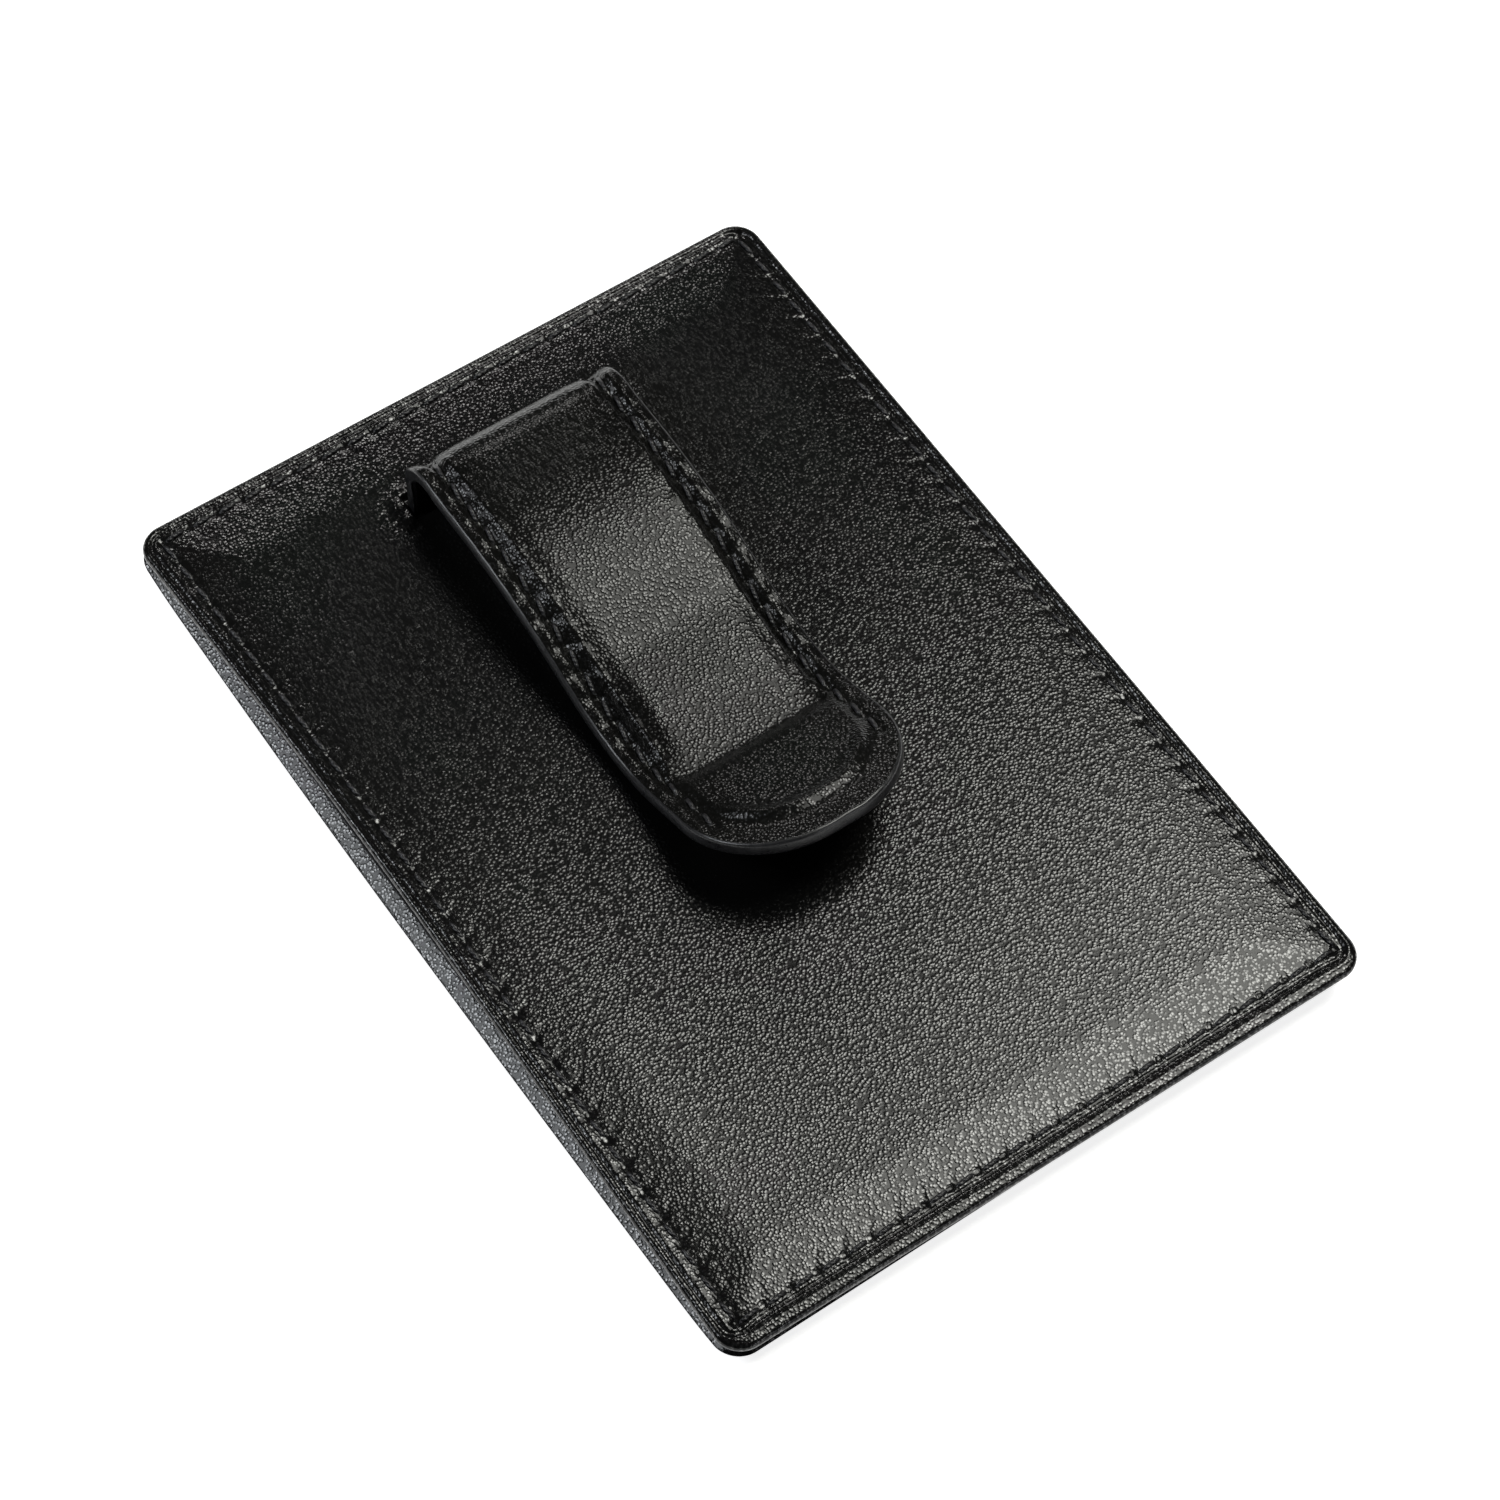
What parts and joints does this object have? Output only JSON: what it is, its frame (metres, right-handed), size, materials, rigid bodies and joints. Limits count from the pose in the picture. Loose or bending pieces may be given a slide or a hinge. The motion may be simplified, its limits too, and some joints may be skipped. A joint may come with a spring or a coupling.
{
  "type": "money clip card case",
  "caption": "Flat leather card case with a sprung, leather-covered money clip on its back, a centre pocket and stepped card slots on its front.",
  "frame": {"origin": "centre of the flat face that the case rests on (the card side), below the middle of the case", "axes": "+X from the open mouth of the centre pocket to the closed long edge, +Y along the long side towards the bend of the clip, +Z out of the clip side"},
  "size_m": [0.072, 0.1024, 0.0147],
  "materials": {
    "calf_leather": "semi-gloss black grained calf",
    "clip_leather": "semi-gloss black grained calf, painted edges",
    "lining": "black ribbed lining",
    "pocket_cloth": "black woven cloth",
    "board": "bonded leather board",
    "thread": "waxed black thread",
    "spring_steel": "spring temper, oiled",
    "rivet": "plain"
  },
  "bodies": {
    "case": {"front_pocket_leaf": "calf_leather", "middle_pocket_strip": "calf_leather", "rear_pocket_strip": "calf_leather", "front_leather": "calf_leather", "back_leather": "calf_leather", "front_pocket_cloth": "pocket_cloth", "middle_pocket_cloth": "pocket_cloth", "rear_pocket_cloth": "pocket_cloth", "front_lining": "lining", "back_lining": "lining", "front_board": "board", "back_board": "board", "slot_stitches": "thread", "back_seam_stitches": "thread", "front_seam_stitches": "thread", "back_mouth_stitches": "thread", "front_mouth_stitches": "thread", "clip_spring_leg": "spring_steel", "clip_top_leather_base": "clip_leather", "clip_under_leather_base": "clip_leather", "clip_rivets": "rivet"},
    "clip_arm": {"clip_spring_arm": "spring_steel", "clip_top_leather_arm": "clip_leather", "clip_under_leather_arm": "clip_leather", "clip_top_stitches": "thread", "clip_under_stitches": "thread"}
  },
  "joints": [
    {"name": "clip_flex", "type": "hinge", "parent": "case", "child": "clip_arm", "pos_m": [0, 0.0406, 0.00799], "axis": [-1, 0, 0], "range_deg": [0, 15], "stiffness_Nm_per_rad": 2.4}
  ]
}
